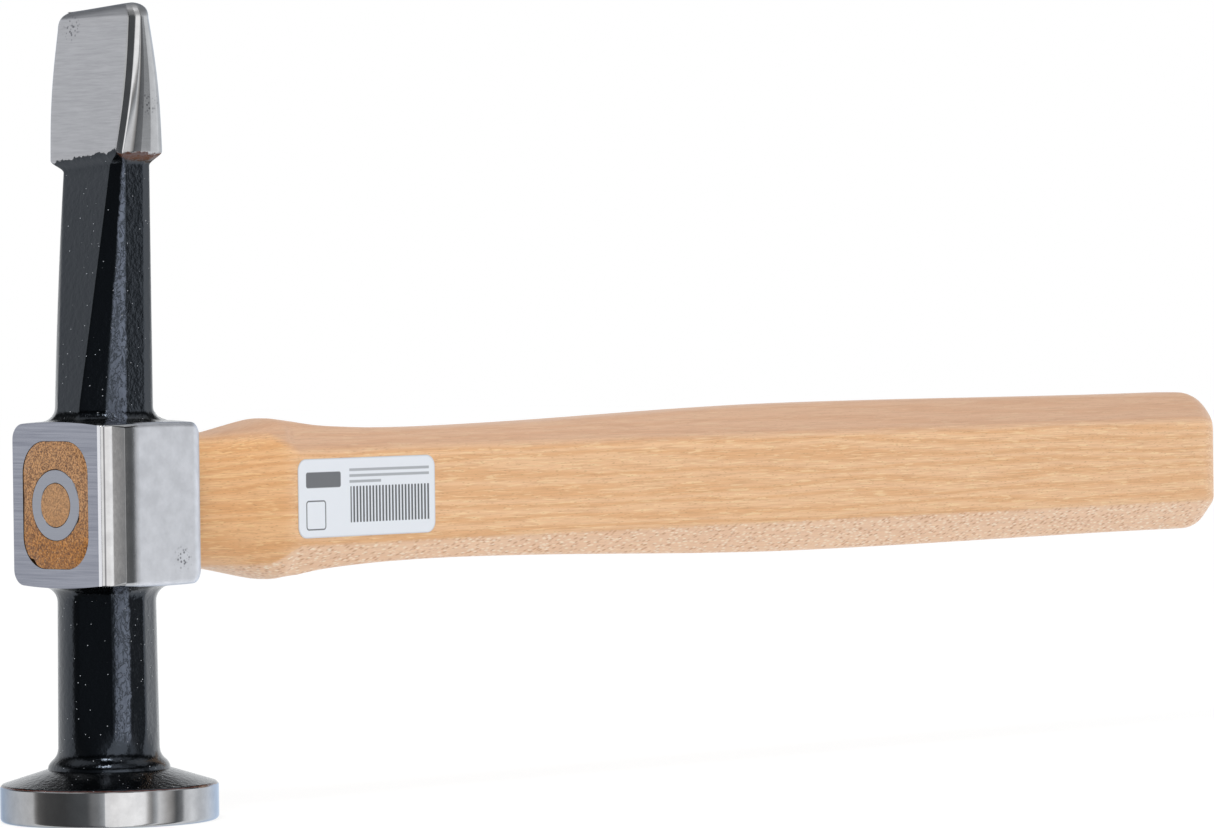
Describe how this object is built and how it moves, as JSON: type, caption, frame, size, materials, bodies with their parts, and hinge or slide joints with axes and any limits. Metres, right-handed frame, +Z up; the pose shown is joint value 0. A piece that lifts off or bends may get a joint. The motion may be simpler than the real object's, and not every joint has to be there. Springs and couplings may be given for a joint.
{
  "type": "auto body hammer",
  "caption": "Auto body hammer: forged head with a round striking disc and a cross pein, on an eight-sided wooden handle held in the eye by a ring wedge.",
  "frame": {"origin": "centre of the round striking face, on the head's own axis", "axes": "+Z up the head from the striking face to the pein, +X along the handle from the head to the butt, the pein's edge along Y, the label on the -Y side"},
  "size_m": [0.337, 0.04, 0.1492],
  "materials": {
    "head": "gloss black lacquer on forged steel, with the rim, the end face, the cheeks and the pein ground bright",
    "handle": "smooth hickory, thinly lacquered",
    "wedge": "ground flush with the eye",
    "label": "coated paper, faint gloss"
  },
  "bodies": {
    "root": {"hammer_head": "head", "handle": "handle", "ring_wedge": "wedge", "label": "label"}
  },
  "joints": []
}
